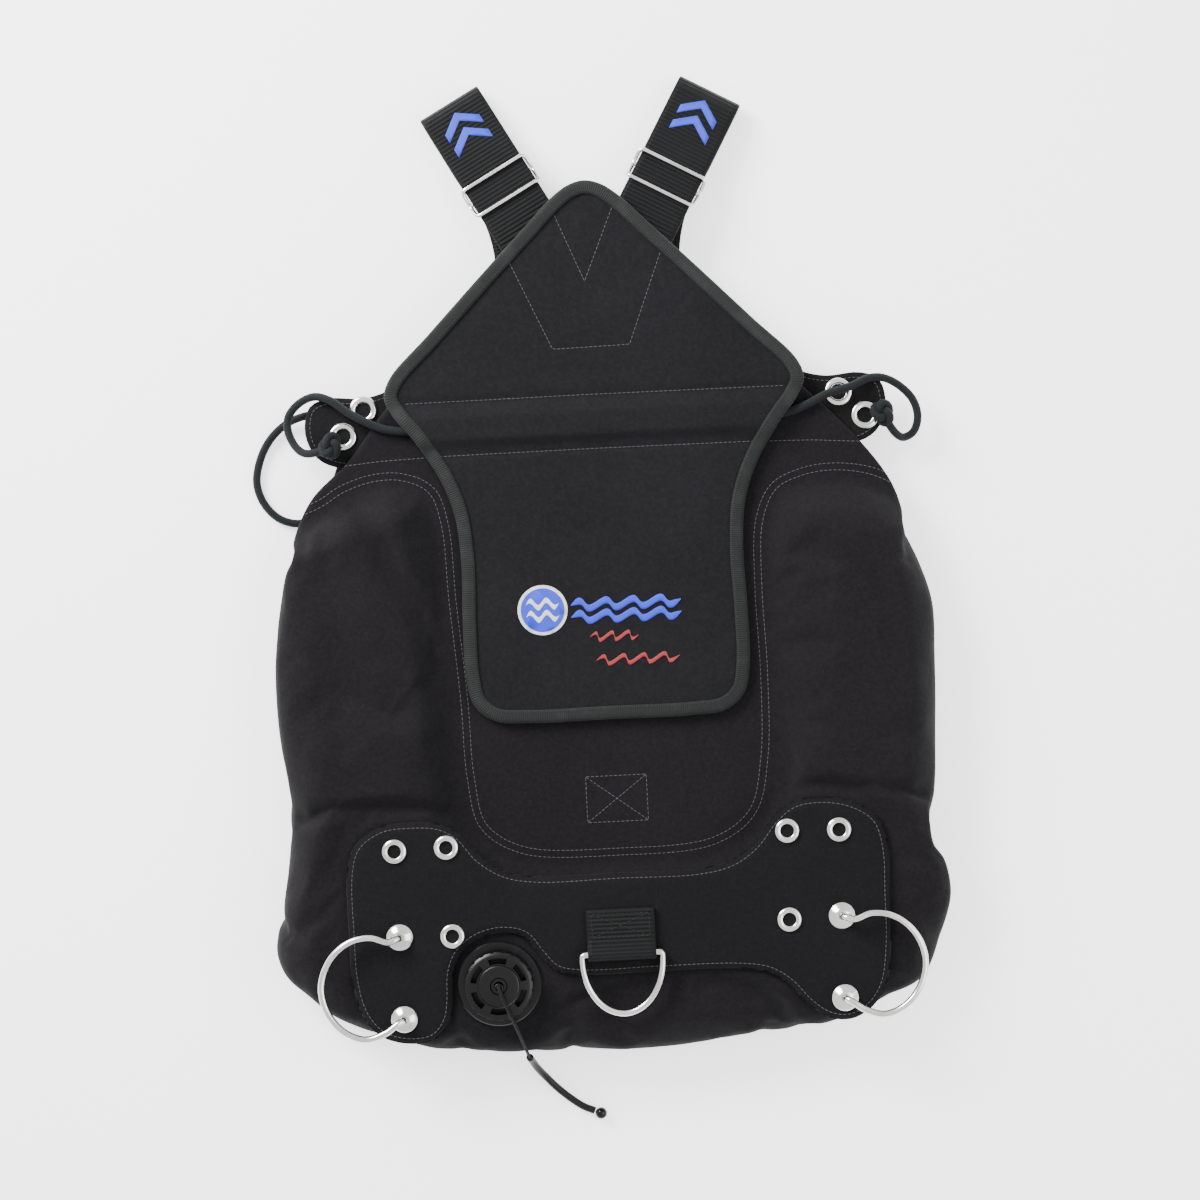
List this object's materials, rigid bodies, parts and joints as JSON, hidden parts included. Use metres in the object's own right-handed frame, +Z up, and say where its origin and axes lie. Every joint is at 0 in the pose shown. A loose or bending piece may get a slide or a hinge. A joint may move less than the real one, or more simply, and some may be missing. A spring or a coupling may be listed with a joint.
{
  "type": "buoyancy compensator vest",
  "caption": "Back-mounted diving buoyancy vest with a U-shaped air wing, kite-shaped back cover, round dump valve, steel rails and webbing shoulder straps.",
  "frame": {"origin": "middle of the vest, without its free cords, on the surface that it lies on", "axes": "+X to the right with the outer face up and the shoulder straps away from the viewer, +Y towards the shoulder straps, +Z up out of the outer face"},
  "size_m": [0.5071, 0.7756, 0.0742],
  "materials": {
    "shell_fabric": "coated woven nylon, matt",
    "cover_fabric": "coarse woven nylon, matt",
    "binding": "ribbed binding tape",
    "webbing": "woven webbing",
    "closure": "hook and loop",
    "foam": "padded mesh",
    "bladder": "coated film",
    "steel": "polished stainless steel",
    "black_plastic": "moulded, satin gloss",
    "rubber": "soft black rubber",
    "cord": "braided elastic cord"
  },
  "bodies": {
    "root": {"wing_outer_shell": "shell_fabric", "wing_inner_shell": "shell_fabric", "back_cover": "cover_fabric", "butt_panel": "cover_fabric", "back_cover_binding": "binding", "closure_loop_strip": "closure", "harness_plate": "foam", "back_pad": "foam", "air_bladder": "bladder", "butt_stiffener": "black_plastic", "valve_body": "black_plastic", "valve_retaining_nut": "black_plastic", "valve_cap": "black_plastic", "inflator_inlet": "black_plastic", "inflator_inlet_nut": "black_plastic", "bungee_main": "cord", "bungee_side_loop": "cord", "valve_spring": "steel", "buckle_frame": "steel", "buckle_pin": "steel", "rear_tab": "webbing", "crotch_strap": "webbing", "butt_grommet_left_1": "steel", "butt_grommet_left_2": "steel", "butt_grommet_left_3": "steel", "rail_left": "steel", "rail_cup_left_1": "steel", "rail_cup_left_2": "steel", "rail_backing_left": "steel", "ear_grommet_left_1": "steel", "ear_grommet_left_2": "steel", "chest_left_tab": "webbing", "shoulder_strap_left": "webbing", "waist_belt_left": "webbing", "butt_grommet_right_1": "steel", "butt_grommet_right_2": "steel", "butt_grommet_right_3": "steel", "rail_right": "steel", "rail_cup_right_1": "steel", "rail_cup_right_2": "steel", "rail_backing_right": "steel", "ear_grommet_right_1": "steel", "ear_grommet_right_2": "steel", "chest_right_tab": "webbing", "shoulder_strap_right": "webbing", "waist_belt_right": "webbing"},
    "flap": {"cover_flap": "cover_fabric", "cover_flap_binding": "binding", "closure_hook_strip": "closure"},
    "rear_ring": {"rear_ring": "steel"},
    "chest_ring_left": {"chest_left_ring": "steel"},
    "chest_ring_right": {"chest_right_ring": "steel"},
    "slide_left": {"strap_slide_left": "steel"},
    "slide_right": {"strap_slide_right": "steel"},
    "valve_poppet": {"valve_poppet": "black_plastic", "valve_seal": "rubber", "pull_cord": "cord", "pull_sleeve": "rubber", "pull_bead": "rubber"},
    "buckle_lever": {"buckle_lever": "steel"}
  },
  "joints": [
    {"name": "flap_lift", "type": "hinge", "parent": "root", "child": "flap", "pos_m": [0, 0.0849, 0.03905], "axis": [-1, 0, 0], "range_deg": [0, 150]},
    {"name": "rear_ring_swing", "type": "hinge", "parent": "root", "child": "rear_ring", "pos_m": [0, -0.28515, 0.0617], "axis": [-1, 0, 0], "range_deg": [-4, 150]},
    {"name": "chest_ring_left_swing", "type": "hinge", "parent": "root", "child": "chest_ring_left", "pos_m": [-0.06, 0.00085, 0.0054], "axis": [1, 0, 0], "range_deg": [0, 130]},
    {"name": "chest_ring_right_swing", "type": "hinge", "parent": "root", "child": "chest_ring_right", "pos_m": [0.06, 0.00085, 0.0054], "axis": [1, 0, 0], "range_deg": [0, 130]},
    {"name": "slide_left_adjust", "type": "slide", "parent": "root", "child": "slide_left", "axis": [-0.48, 0.8659, -0.1406], "range_m": [0, 0.035]},
    {"name": "slide_right_adjust", "type": "slide", "parent": "root", "child": "slide_right", "axis": [0.48, 0.8659, -0.1406], "range_m": [0, 0.035]},
    {"name": "dump_pull", "type": "slide", "parent": "root", "child": "valve_poppet", "axis": [0, 0, 1], "range_m": [0, 0.004], "stiffness_N_per_m": 400, "springref_m": -0.002, "deforming": ["valve_spring"]},
    {"name": "buckle_open", "type": "hinge", "parent": "root", "child": "buckle_lever", "pos_m": [-0.02, -0.1071, 0.005], "axis": [0, 1, 0], "range_deg": [0, 110]}
  ]
}
